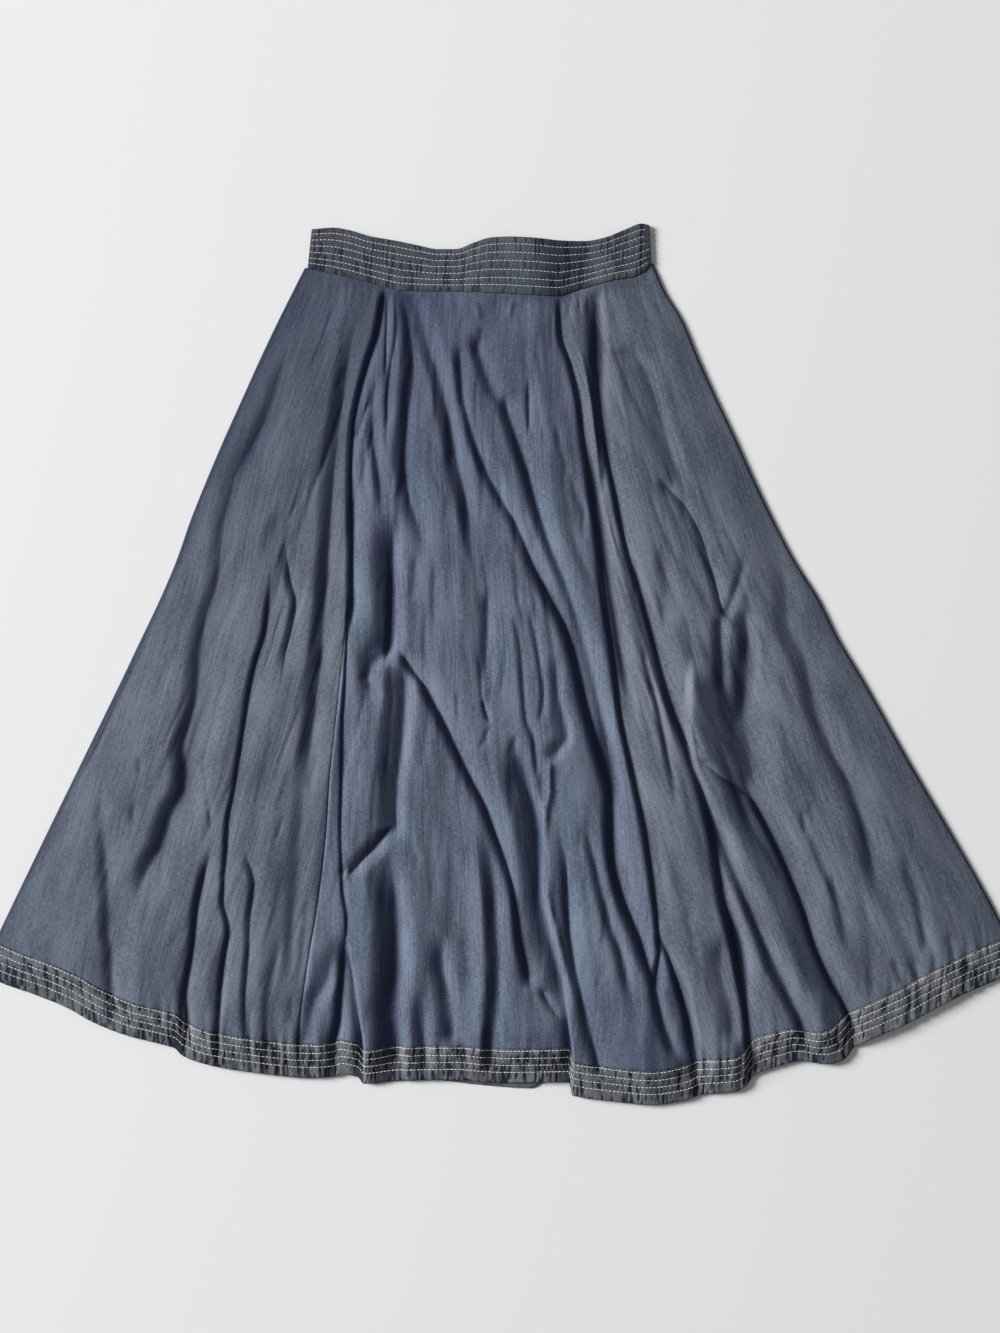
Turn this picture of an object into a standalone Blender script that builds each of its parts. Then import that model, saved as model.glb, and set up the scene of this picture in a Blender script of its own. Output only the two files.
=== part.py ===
# A long denim skirt laid flat on its back: a wide waistband, three gores in front and three
# behind, and a narrow strip sewn round the hem. The front gores lie in loose folds that run
# from the waist to the hem, and two of the folds are pleats. Each piece is one thin closed wall.
#
# Sizes are in millimetres on the laid skirt. "Across" runs from the wearer's right to left and
# "down" from the waist to the hem, both from a datum point above and left of the skirt.
# The frame has its origin under the middle of the skirt, +X across, +Y up to the waist, +Z off
# the surface that the skirt lies on.

import bpy
import bmesh
from math import sin, pi, log
from mathutils import Vector

# Driving sizes
MM = 0.001
DATUM_ACROSS = 501.9       # across position of the frame's origin
DATUM_DOWN = 664.4         # down position of the frame's origin
WALL = 1.2                 # thickness of each cloth wall
THINNEST = 0.6             # least upright thickness of a wall in a steep fold
GAP = 0.3                  # clear space at each seam and between the two layers
SEAM_SHIFT = 0.18          # how far each gore's edge stands back from a slanting seam line
RIB = 0.45                 # how far the cloth stands up between two rows of stitching
FOLD_AT_WAIST = 2.5        # height of a full fold where the gores meet the waistband
FOLD_AT_HEM = 14.0         # height of a full fold at the hem
FOLDS_START = 1 / 6        # share of a gore's length over which the folds take their height
HEM_WIDTH = 34.5           # width of the strip along the hem
ROWS = 20                  # rings along each gore
BAND_STEPS = 34            # rings along each waistband

FRONT_FLOOR = WALL + GAP   # lowest height of the front layer's inside
FRONT_LOW = FRONT_FLOOR + WALL

# Outlines on the laid skirt, each row (across, down)
WAIST_TOP = [(312, 230), (333, 228.6), (349, 231), (369, 237), (395, 241.6), (418, 246.4),
             (438, 250.3), (456, 250.3), (474, 244), (492, 239), (510, 238.3), (535, 239.5),
             (561, 241.6), (586, 242), (604, 239), (624, 231), (642, 224.5), (649, 226)]
WAIST_SEAM = [(308, 268.5), (333, 273.5), (360, 280), (382, 286), (402, 290.5), (466, 292),
              (500, 293.5), (556, 296), (575, 291), (590, 286.5), (615, 280), (633, 277),
              (645, 271), (651, 264)]
HEM_SEAM_FRONT = [(-5, 942), (22, 953), (48, 961.5), (79, 974.5), (102, 987.5), (130, 1000),
                  (166, 1009), (179, 1013), (187, 1020.5), (214, 1030.5), (246, 1036),
                  (309, 1042.5), (336, 1041), (341, 1038.5), (358, 1041.5), (364, 1048.5),
                  (400, 1045.5), (456, 1044.5), (501, 1047.5), (569, 1046.5), (572, 1060),
                  (612, 1066), (650, 1069.5), (682, 1065), (694, 1061), (698, 1059.5),
                  (733, 1056), (742, 1051.5), (750, 1041), (757, 1036), (776, 1030),
                  (789, 1027), (815, 1031), (828, 1028), (846, 1013.5), (852, 1010),
                  (900, 987), (929, 971), (964, 954.5), (1008, 937.5)]
HEM_SEAM_BACK = [(-5, 942), (100, 982), (180, 1007), (240, 1031), (330, 1038), (443, 1046),
                 (480, 1050), (532, 1053.5), (546, 1047), (600, 1050), (680, 1053),
                 (740, 1036), (789, 1020), (846, 1007), (900, 984), (1008, 937.5)]

# How far the front waistband lifts off the surface, each row (across, lift)
WAIST_LIFT = [(308, 0.0), (340, 1.0), (400, 1.6), (450, 2.0), (515, 4.2), (565, 1.2),
              (600, 2.4), (640, 1.0), (651, 0.0)]

# Lines that run down the front from the waist seam to the hem seam, from left to right.
# path: across position at six equal steps from waist to hem
# level: how high the line lies at waist, middle and hem, 0 on the back layer and 1 a full fold
# swell: how far the cloth rises between this line and the next, as a share of a full fold
# crest: where that rise is highest, 0 at this line and 1 at the next
# parts: walls between this line and the next
FOLD_LINES = [
    # name              path                              level            swell crest parts
    ("left_side",      (308, 241, 185, 126, 61, -5),     (0.0, 0.0, 0.0),  0.38, 0.50, 3),
    ("left_kink",      (314, 247, 191, 142, 101, 112),   (0.5, 0.5, 0.15), 0.30, 0.50, 2),
    ("left_long",      (321, 258, 213, 191, 151, 138),   (0.5, 0.2, 0.65), 0.40, 0.50, 3),
    ("left_step",      (331, 276, 240, 220, 209, 185),   (0.6, 0.7, 0.10), 0.35, 0.55, 2),
    ("left_crisp",     (341, 297, 272, 242, 222, 217),   (0.6, 0.3, 0.15), 0.55, 0.40, 4),
    ("left_soft",      (354, 335, 320, 307, 295, 287),   (0.6, 0.4, 0.35), 0.45, 0.50, 2),
    ("left_seam",      (384, 350, 348, 336, 321, 301),   (0.3, 0.3, 0.70), 0.25, 0.70, 3),
    ("left_pleat",     (387, 353, 351, 342, 342, 336),   (0.2, 0.1, 0.12), 0.05, 0.50, 2),
    ("pleat_underlay", (393, 362, 362, 352, 349, 359),   (0.6, 0.6, 0.12), 0.75, 0.25, 3),
    ("centre_trough",  (404, 405, 388, 395, 386, 390),   (0.3, 0.1, 0.05), 0.70, 0.45, 4),
    ("centre_dark",    (411, 416, 399, 431, 486, 488),   (0.5, 0.6, 0.10), 0.45, 0.50, 3),
    ("long_diagonal",  (418, 427, 410, 452, 509, 540),   (0.6, 0.4, 0.45), 0.55, 0.50, 3),
    ("hem_lap",        (432, 453, 470, 513, 537, 569),   (0.6, 0.5, 0.10), 0.10, 0.50, 1),
    ("hem_lap_edge",   (441, 464, 484, 524, 546, 572),   (0.7, 0.7, 0.85), 0.15, 0.40, 2),
    ("lap_trough",     (458, 478, 518, 550, 566, 598),   (0.6, 0.5, 0.30), 0.50, 0.50, 3),
    ("centre_crisp",   (480, 492, 552, 586, 629, 650),   (0.6, 0.2, 0.80), 0.50, 0.50, 3),
    ("right_pleat",    (557, 580, 602, 626, 655, 693),   (0.3, 0.2, 0.60), 0.05, 0.50, 1),
    ("pleat_one_foot", (562, 585, 607, 632, 661, 697),   (0.2, 0.1, 0.08), 0.75, 0.60, 4),
    ("pleat_two",      (583, 603, 630, 681, 721, 746),   (0.6, 0.5, 0.40), 0.00, 0.50, 1),
    ("pleat_two_foot", (590, 608, 635, 686, 726, 751),   (0.1, 0.05, 0.1), 0.85, 0.45, 5),
    ("pleat_three",    (612, 660, 713, 716, 781, 847),   (0.6, 0.5, 0.55), 0.00, 0.50, 1),
    ("pleat_three_foot", (620, 666, 719, 723, 787, 852), (0.6, 0.15, 0.1), 0.60, 0.50, 4),
    ("right_trough",   (635, 700, 772, 813, 851, 915),   (0.5, 0.25, 0.3), 0.35, 0.50, 5),
    ("right_side",     (651, 717, 780, 856, 932, 1008),  (0.0, 0.0, 0.0),  0.00, 0.50, 0),
]
FRONT_SEAMS = ("left_seam", "right_pleat")

# Lines down the back: the two sides and the two straight gore seams, with equal parts between
BACK_LINES = [
    (308, 241, 185, 126, 61, -5),
    (402, 388, 374, 360, 346, 332),
    (558, 584, 610, 636, 662, 688),
    (651, 717, 780, 856, 932, 1008),
]
BACK_PARTS = 10
BACK_ROWS = 10

# Outer profile of a sewn band, each row (distance from the upper edge, share of RIB)
HEM_PROFILE = [(0, 0.2), (2.5, 1), (6.5, 1), (8.5, 0), (10.5, 1), (14, 1), (16, 0), (18, 1),
               (21.5, 1), (23.5, 0), (26, 1), (32, 1), (34.5, 0.2)]
WAIST_ROWS = (0.13, 0.28, 0.43, 0.59, 0.74, 0.87)     # stitch rows, as shares of the band's width
WAIST_RIB_SHOULDER = 0.04                             # share of the width beside each row

# Colours, linear: the gores are lighter and bluer than the two sewn bands
GORE_BLUE = (0.105, 0.138, 0.188, 1.0)
BAND_GREY = (0.098, 0.112, 0.135, 1.0)
ROUGHNESS = 0.75


def between(a, b, share):
    return a + (b - a) * share


def slope_at(rows, i):
    """Slope of a smooth outline at its row i, level where the outline turns."""
    if i == 0 or i == len(rows) - 1:
        i = max(i, 1)
        return (rows[i][1] - rows[i - 1][1]) / (rows[i][0] - rows[i - 1][0])
    before = (rows[i][1] - rows[i - 1][1]) / (rows[i][0] - rows[i - 1][0])
    after = (rows[i + 1][1] - rows[i][1]) / (rows[i + 1][0] - rows[i][0])
    return 2 * before * after / (before + after) if before * after > 0 else 0.0


def line_down(rows, across):
    """Second value of an outline at one across position, on a smooth curve through its rows."""
    across = min(max(across, rows[0][0]), rows[-1][0])
    i = next(k for k in range(len(rows) - 1) if across <= rows[k + 1][0])
    (x0, y0), (x1, y1) = rows[i], rows[i + 1]
    width = x1 - x0
    f = (across - x0) / width
    bend_in, bend_out = slope_at(rows, i) * width, slope_at(rows, i + 1) * width
    return (y0 + f * (bend_in + f * (3 * (y1 - y0) - 2 * bend_in - bend_out
                                     + f * (2 * (y0 - y1) + bend_in + bend_out))))


def smooth_at(values, t):
    """Value at t from 0 to 1 on a smooth curve through equally spaced values."""
    last = len(values) - 1
    i = min(int(t * last), last - 1)
    f = t * last - i
    before, a, b, after = values[max(i - 1, 0)], values[i], values[i + 1], values[min(i + 2, last)]
    return a + 0.5 * f * ((b - before) + f * ((2 * before - 5 * a + 4 * b - after)
                                               + f * (3 * (a - b) + after - before)))


def ease(f):
    f = min(max(f, 0.0), 1.0)
    return f * f * (3 - 2 * f)


def place(across, down, height):
    """Point in metres from a position on the laid skirt."""
    return Vector(((across - DATUM_ACROSS) * MM, (DATUM_DOWN - down) * MM, height * MM))


def front_columns():
    """Every column of the front as (line index, share of the way to the next line)."""
    columns = []
    for i, line in enumerate(FOLD_LINES[:-1]):
        columns += [(i, k / line[5]) for k in range(line[5])]
    return columns + [(len(FOLD_LINES) - 2, 1.0)]


def hem_half_gap(across, reach=2.0):
    """Half of the front hem seam's gap, measured downward, wider where the hem line is steep."""
    drop = line_down(HEM_SEAM_FRONT, across + reach) - line_down(HEM_SEAM_FRONT, across - reach)
    return GAP / 2 * (1 + (drop / (2 * reach)) ** 2) ** 0.5


def front_point(column, t):
    """Outer point (across, down, height) of the front at one column and share t of its length."""
    i, share = column
    _, path, level, swell, crest, _ = FOLD_LINES[i]
    _, next_path, next_level, _, _, _ = FOLD_LINES[i + 1]
    across = between(smooth_at(path, t), smooth_at(next_path, t), share)
    top = line_down(WAIST_SEAM, between(path[0], next_path[0], share)) + GAP / 2
    hem_across = between(path[-1], next_path[-1], share)
    bottom = line_down(HEM_SEAM_FRONT, hem_across) - hem_half_gap(hem_across)
    rise = between(smooth_at(level, t), smooth_at(next_level, t), ease(share))
    if 0.0 < share < 1.0:
        rise += swell * sin(pi * share ** (log(0.5) / log(crest)))
    fold = max(rise, 0.0) * between(FOLD_AT_WAIST, FOLD_AT_HEM, t)
    lift = line_down(WAIST_LIFT, across)
    return across, between(top, bottom, t), FRONT_LOW + between(lift, fold, ease(t / FOLDS_START))


def grid_normals(grid):
    """Unit normal at each point of a grid of points, pointing up, level along the end rows."""
    normals = []
    for r, row in enumerate(grid):
        line = []
        for c in range(len(row)):
            along = row[min(c + 1, len(row) - 1)] - row[max(c - 1, 0)]
            down = grid[min(r + 1, len(grid) - 1)][c] - grid[max(r - 1, 0)][c]
            if r in (0, len(grid) - 1):
                down = Vector((0, -1, 0))
            normal = down.cross(along).normalized()
            line.append(normal if normal.z > 0 else -normal)
        normals.append(line)
    return normals


def inner_point(point, normal):
    """Inside of the front wall under an outer point, never lower than the back layer allows."""
    inner = point - normal * (WALL * MM)
    inner.z = min(max(inner.z, FRONT_FLOOR * MM), point.z - THINNEST * MM)
    return inner


def solid_from_rings(name, rings, colour, caps_in_strips):
    """Closed wall through rings with the same number of points, capped at both ends."""
    mesh = bpy.data.meshes.new(name)
    bm = bmesh.new()
    verts = [[bm.verts.new(p) for p in ring] for ring in rings]
    count = len(rings[0])
    for a, b in zip(verts, verts[1:]):
        for k in range(count):
            bm.faces.new((a[k], a[(k + 1) % count], b[(k + 1) % count], b[k]))
    for ring in (verts[0], verts[-1]):
        if caps_in_strips:
            for k in range(count // 2 - 1):
                bm.faces.new((ring[k], ring[k + 1], ring[count - 2 - k], ring[count - 1 - k]))
        else:
            bm.faces.new(ring)
    bmesh.ops.recalc_face_normals(bm, faces=bm.faces[:])
    bm.to_mesh(mesh)
    bm.free()
    mesh.shade_smooth()
    mesh.set_sharp_from_angle(angle=pi / 4)
    obj = bpy.data.objects.new(name, mesh)
    bpy.context.scene.collection.objects.link(obj)
    obj.data.materials.append(cloth(name + "_cloth", colour))
    return obj


def cloth(name, colour):
    material = bpy.data.materials.new(name)
    material.use_nodes = True
    shader = material.node_tree.nodes["Principled BSDF"]
    shader.inputs["Base Color"].default_value = colour
    shader.inputs["Roughness"].default_value = ROUGHNESS
    shader.inputs["Metallic"].default_value = 0.0
    material.diffuse_color = colour
    return material


def panel_from_grid(name, outer, inner, colour):
    """Gore whose rings run across it, outer points one way and inner points back."""
    rings = [top + bottom[::-1] for top, bottom in zip(outer, inner)]
    return solid_from_rings(name, rings, colour, caps_in_strips=True)


def front_gores():
    """The three front gores, parted at their two seams."""
    columns = front_columns()
    steps = [r / ROWS for r in range(ROWS + 1)]
    outer = [[place(*front_point(column, t)) for column in columns] for t in steps]
    normals = grid_normals(outer)
    inner = [[inner_point(p, n) for p, n in zip(*pair)] for pair in zip(outer, normals)]
    names = [line[0] for line in FOLD_LINES]
    seams = [columns.index((names.index(seam), 0.0)) for seam in FRONT_SEAMS]
    edges = [0] + seams + [len(columns) - 1]
    aside = Vector((SEAM_SHIFT * MM, 0, 0))
    for k, name in enumerate(("front_left_panel", "front_centre_panel", "front_right_panel")):
        first, last = edges[k], edges[k + 1]
        walls = []
        for grid in (outer, inner):
            part = [row[first:last + 1] for row in grid]
            if k > 0:
                part = [[row[0] + aside] + row[1:] for row in part]
            if k < 2:
                part = [row[:-1] + [row[-1] - aside] for row in part]
            walls.append(part)
        panel_from_grid(name, walls[0], walls[1], GORE_BLUE)


def back_point(gore, share, t):
    """Point (across, down) of one back gore, share of the way across it and t of its length."""
    left, right = BACK_LINES[gore], BACK_LINES[gore + 1]
    top = line_down(WAIST_SEAM, between(left[0], right[0], share)) + GAP / 2
    bottom = line_down(HEM_SEAM_BACK, between(left[-1], right[-1], share)) - GAP / 2
    return between(smooth_at(left, t), smooth_at(right, t), share), between(top, bottom, t)


def back_gores():
    """The three back gores, flat on the surface."""
    shares = [c / BACK_PARTS for c in range(BACK_PARTS + 1)]
    for k, name in enumerate(("back_left_panel", "back_centre_panel", "back_right_panel")):
        aside = [0.0] * (BACK_PARTS + 1)
        aside[0] = SEAM_SHIFT if k > 0 else 0.0
        aside[-1] = -SEAM_SHIFT if k < 2 else 0.0
        outer, inner = [], []
        for t in [r / BACK_ROWS for r in range(BACK_ROWS + 1)]:
            spots = [back_point(k, share, t) for share in shares]
            outer.append([place(x + shift, y, WALL) for (x, y), shift in zip(spots, aside)])
            inner.append([place(x + shift, y, 0.0) for (x, y), shift in zip(spots, aside)])
        panel_from_grid(name, outer, inner, GORE_BLUE)


def waistband(name, floor, lifted, ribbed):
    """Half of the waistband between its top edge and the waist seam, rings along its length."""
    profile = [(0.0, 0.2)]
    for row in WAIST_ROWS:
        profile += [(row - WAIST_RIB_SHOULDER, 1), (row, 0), (row + WAIST_RIB_SHOULDER, 1)]
    profile.append((1.0, 0.2))
    rings = []
    for k in range(BAND_STEPS + 1):
        share = k / BAND_STEPS
        x_top = between(WAIST_TOP[0][0], WAIST_TOP[-1][0], share)
        x_low = between(WAIST_SEAM[0][0], WAIST_SEAM[-1][0], share)
        top, low = line_down(WAIST_TOP, x_top), line_down(WAIST_SEAM, x_low) - GAP / 2
        lift = line_down(WAIST_LIFT, x_low) if lifted else 0.0
        base = floor + WALL + lift
        outer = [place(between(x_top, x_low, w), between(top, low, w), base + rib * RIB * ribbed)
                 for w, rib in (profile if ribbed else (profile[0], profile[-1]))]
        inner = [place(x_low, low, base - WALL), place(x_top, top, base - WALL)]
        inner[0].xy = outer[-1].xy
        inner[1].xy = outer[0].xy
        rings.append(outer + inner)
    solid_from_rings(name, rings, BAND_GREY, caps_in_strips=False)


def hem_direction(outline, across, reach=30.0):
    """Unit direction (across, down) square to the hem at one place, away from the waist."""
    x0, x1 = max(across - reach, outline[0][0]), min(across + reach, outline[-1][0])
    run, drop = x1 - x0, line_down(outline, x1) - line_down(outline, x0)
    length = (run * run + drop * drop) ** 0.5
    return Vector((-drop / length, run / length))


def hem_strip(name, outline, edge_points, half_gap, floor, ribbed):
    """Strip along the hem, rings along its length. edge_points are (across, down, height)."""
    row = [place(*p) for p in edge_points]
    normals = grid_normals([row, row])[0]
    rings = []
    for (across, down, height), normal in zip(edge_points, normals):
        square = hem_direction(outline, across)
        start = Vector((across, down + half_gap(across)))
        end = Vector((across, down)) + square * HEM_WIDTH
        outer = []
        for distance, rib in (HEM_PROFILE if ribbed else (HEM_PROFILE[0], HEM_PROFILE[-1])):
            spot = start.lerp(end, distance / HEM_WIDTH)
            outer.append(place(spot.x, spot.y, height) + normal * (rib * RIB * MM * ribbed))
        inner = []
        for spot in (end, start):
            point = place(spot.x, spot.y, height) - normal * (WALL * MM)
            point.z = min(max(point.z, floor * MM), (height - THINNEST) * MM)
            inner.append(point)
        rings.append(outer + inner)
    solid_from_rings(name, rings, BAND_GREY, caps_in_strips=False)


def hem_strips():
    front = [front_point(column, 1.0) for column in front_columns()]
    front = [(across, down + hem_half_gap(across), height) for across, down, height in front]
    hem_strip("hem_band_front", HEM_SEAM_FRONT, front, hem_half_gap, FRONT_FLOOR, ribbed=True)
    spots = [back_point(k // BACK_PARTS, k % BACK_PARTS / BACK_PARTS, 1.0)
             for k in range(3 * BACK_PARTS)] + [back_point(2, 1.0, 1.0)]
    back = [(across, down + GAP / 2, WALL) for across, down in spots]
    hem_strip("hem_band_back", HEM_SEAM_BACK, back, lambda across: GAP / 2, 0.0, ribbed=False)


for leftover in list(bpy.data.objects):
    bpy.data.objects.remove(leftover, do_unlink=True)
back_gores()
front_gores()
waistband("waistband_back", 0.0, lifted=False, ribbed=False)
waistband("waistband_front", FRONT_FLOOR, lifted=True, ribbed=True)
hem_strips()
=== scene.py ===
# Long light-denim skirt laid flat on a white surface and seen from straight above.
import bpy
import numpy as np
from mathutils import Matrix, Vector


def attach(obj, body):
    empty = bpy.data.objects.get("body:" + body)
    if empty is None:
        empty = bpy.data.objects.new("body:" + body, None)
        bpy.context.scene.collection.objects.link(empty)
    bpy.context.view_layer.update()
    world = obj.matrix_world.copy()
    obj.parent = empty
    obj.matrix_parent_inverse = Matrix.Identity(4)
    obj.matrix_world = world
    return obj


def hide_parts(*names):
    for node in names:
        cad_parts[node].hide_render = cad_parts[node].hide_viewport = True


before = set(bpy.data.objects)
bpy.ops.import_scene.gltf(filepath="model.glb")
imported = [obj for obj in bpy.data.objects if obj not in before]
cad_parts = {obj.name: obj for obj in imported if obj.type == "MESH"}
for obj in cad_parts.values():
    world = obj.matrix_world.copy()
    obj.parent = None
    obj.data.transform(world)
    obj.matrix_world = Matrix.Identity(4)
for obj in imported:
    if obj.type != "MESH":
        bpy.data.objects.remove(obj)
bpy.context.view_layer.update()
bpy.ops.object.select_all(action="DESELECT")

# Back gores
# Three flared gores of light denim lie under the front, flat on the surface, with the side
# seams at the skirt's two long edges. The cloth is a two-tone plain weave of navy and grey
# yarns with a soft sheen, and lies in a few shallow ripples.
MM = 0.001
DATUM_ACROSS, DATUM_DOWN = 501.9, 664.4  # laid position, in millimetres, of the frame's origin
CLOTH = 0.7  # thickness of one layer of denim
BACK_TOP = 0.85  # height of the back layer's upper face
BACK_RIPPLE, RIPPLE_SLANT = 0.5, 0.4  # height of its ripples, and their lean
RIPPLE_FREE = 25  # width of its side edges that lie without ripples
BACK_INSET = 2.4  # how far its side edges lie inside the front's
INSET_REACH = 12  # width of the cloth that is drawn in for that
# The seam under the waistband and the one above the back hem strip, each point (across, down)
WAIST_SEAM = [(308, 268.5), (333, 273.5), (360, 280), (382, 286), (402, 290.5), (466, 292),
              (500, 293.5), (556, 296), (575, 291), (590, 286.5), (615, 280), (633, 277),
              (645, 271), (651, 264)]
HEM_SEAM_BACK = [(-5, 942), (100, 982), (180, 1007), (240, 1031), (330, 1038), (443, 1046),
                 (480, 1050), (532, 1053.5), (546, 1047), (600, 1050), (680, 1053), (740, 1036),
                 (789, 1020), (846, 1007), (900, 984), (1008, 937.5)]
# Long lines of the skirt, each row (down, across)
LEFT_SIDE = [(262, 308), (290, 294), (320, 279), (360, 260), (400, 242), (440, 224), (480, 207),
             (520, 191), (560, 177), (600, 160), (640, 141), (680, 122), (760, 83), (840, 44),
             (900, 15), (942, -5), (975, -20)]
RIGHT_SIDE = [(258, 651), (290, 664), (320, 682), (360, 699), (400, 717), (440, 736), (480, 754),
              (520, 773), (560, 794), (600, 819), (640, 839), (680, 863), (760, 908), (840, 955),
              (900, 989), (937.5, 1008), (970, 1024)]
BACK_SEAM_LEFT = [(290, 402), (1040, 332)]
BACK_SEAM_RIGHT = [(290, 558), (1050, 688)]
NAVY_YARN, GREY_YARN = (0.040, 0.049, 0.076), (0.172, 0.205, 0.268)
PAINTED_SHADE_NAVY = (0.014, 0.018, 0.054)  # painted shade: dark navy where the cloth slopes away from the light and in its folds
TEAL_TINT, MAUVE_TINT = (0.56, 0.65, 0.69), (0.70, 0.63, 0.70)
HUE_SHARE, PAINTED_SHADE_SHARE = 0.35, 0.95  # how strongly the tints and the painted shade take over
SLUB_WIDE, SLUB_LONG = 0.8, 5  # one slub of the yarn, in millimetres
STREAK, PATCH, HUE_DRIFT = (2.2, 48), (32, 80), (60, 140)  # uneven tone, across and along
STREAK_SHARE, PATCH_SHARE = 0.36, 0.46
TONE_RANGE = (0.72, 1.04)  # range of the summed tone, from navy to grey
WEAVE_DEPTH, STREAK_DEPTH = 0.22, 0.35  # relief of the slubs and streaks, in millimetres
STAIN_CORE, STAIN_STRENGTH = 0.3, 0.22  # share of a mark's radius that is full, and its strength
STAIN_HEIGHT = 0.01  # height of the cloth under the marks, in metres


def smooth_line(knots):
    """Smooth curve through (place, value) rows that never overshoots them, as a function."""
    place, value = np.array(knots, float).T
    width, rise = np.diff(place), np.diff(value)
    slope = rise / width
    bend = np.concatenate([slope[:1], np.zeros(len(place) - 2), slope[-1:]])
    both = slope[:-1] * slope[1:]
    turn = both > 0
    bend[1:-1][turn] = 2 * both[turn] / (slope[:-1] + slope[1:])[turn]

    def at(where):
        where = np.clip(where, place[0], place[-1])
        i = np.clip(np.searchsorted(place, where, side="right") - 1, 0, len(place) - 2)
        f = (where - place[i]) / width[i]
        start, end = bend[i] * width[i], bend[i + 1] * width[i]
        return value[i] + f * (start + f * (3 * rise[i] - 2 * start - end
                                            + f * (start + end - 2 * rise[i])))
    return at


def ease(f):
    f = np.clip(f, 0, 1)
    return f * f * (3 - 2 * f)


def crinkle(across, down, size_across, size_down, seed):
    """Smooth uneven height from -1 to 1, with bumps of the given size in each direction."""
    lattice = np.random.default_rng(seed).uniform(-1, 1, (257, 257))
    x, y = across / size_across, down / size_down
    i, j = np.floor(x).astype(int), np.floor(y).astype(int)
    f, g = ease(x - i), ease(y - j)
    i, j = i % 256, j % 256
    low = lattice[i, j] * (1 - f) + lattice[i + 1, j] * f
    high = lattice[i, j + 1] * (1 - f) + lattice[i + 1, j + 1] * f
    return low * (1 - g) + high * g


def from_side(across, down):
    """Distance in from the nearer of the skirt's two long edges."""
    return np.minimum(across - left_side(down), right_side(down) - across)


def in_frame(across, down, height):
    """Points in metres in the frame from positions in millimetres on the laid skirt."""
    return np.stack([(across - DATUM_ACROSS) * MM, (DATUM_DOWN - down) * MM,
                     np.broadcast_to(height, across.shape) * MM], axis=-1)


def cloth_map(points):
    """Place of each point on the flat cloth, in metres: along each row, and down."""
    step = np.linalg.norm(np.diff(points, axis=1), axis=2)
    along = np.concatenate([np.zeros((len(points), 1)), np.cumsum(step, axis=1)], axis=1)
    return np.stack([along - along[:, -1:] / 2, points[..., 1]], axis=-1)


def laid_cloth(name, points, painted_shade=0.0):
    """Thin closed shell under a grid of points, rows from the waist down, outer face up."""
    rows, columns = points.shape[:2]
    bpy.ops.object.select_all(action="DESELECT")
    bpy.ops.mesh.primitive_grid_add(x_subdivisions=columns - 1, y_subdivisions=rows - 1, size=1)
    cloth = bpy.context.object
    cloth.name = cloth.data.name = name
    mesh = cloth.data
    mesh.vertices.foreach_set("co", points[::-1].ravel())
    corners = np.empty(len(mesh.loops), int)
    mesh.loops.foreach_get("vertex_index", corners)
    flat = cloth_map(points)[::-1].reshape(-1, 2)
    mesh.uv_layers.active.data.foreach_set("uv", flat[corners].ravel())
    # painted shade from 0 to 1 at each point, which the material mixes in
    painted_shade_layer = mesh.attributes.new("painted_shade", "FLOAT", "POINT")
    painted_shade_layer.data.foreach_set("value", np.broadcast_to(painted_shade, (rows, columns))[::-1].ravel())
    mesh.update()
    bpy.ops.object.shade_smooth()
    wall = cloth.modifiers.new("wall", "SOLIDIFY")
    wall.thickness, wall.offset = CLOTH * MM, -1
    bpy.ops.object.modifier_apply(modifier="wall")
    return cloth


def new_material(name, roughness, gloss=0.5):
    """A new material, with its nodes, links and shader."""
    material = bpy.data.materials.new(name)
    material.use_nodes = True
    nodes, links = material.node_tree.nodes, material.node_tree.links
    shader = nodes["Principled BSDF"]
    shader.inputs["Roughness"].default_value = roughness
    shader.inputs["Specular IOR Level"].default_value = gloss
    return material, nodes, links, shader


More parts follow.
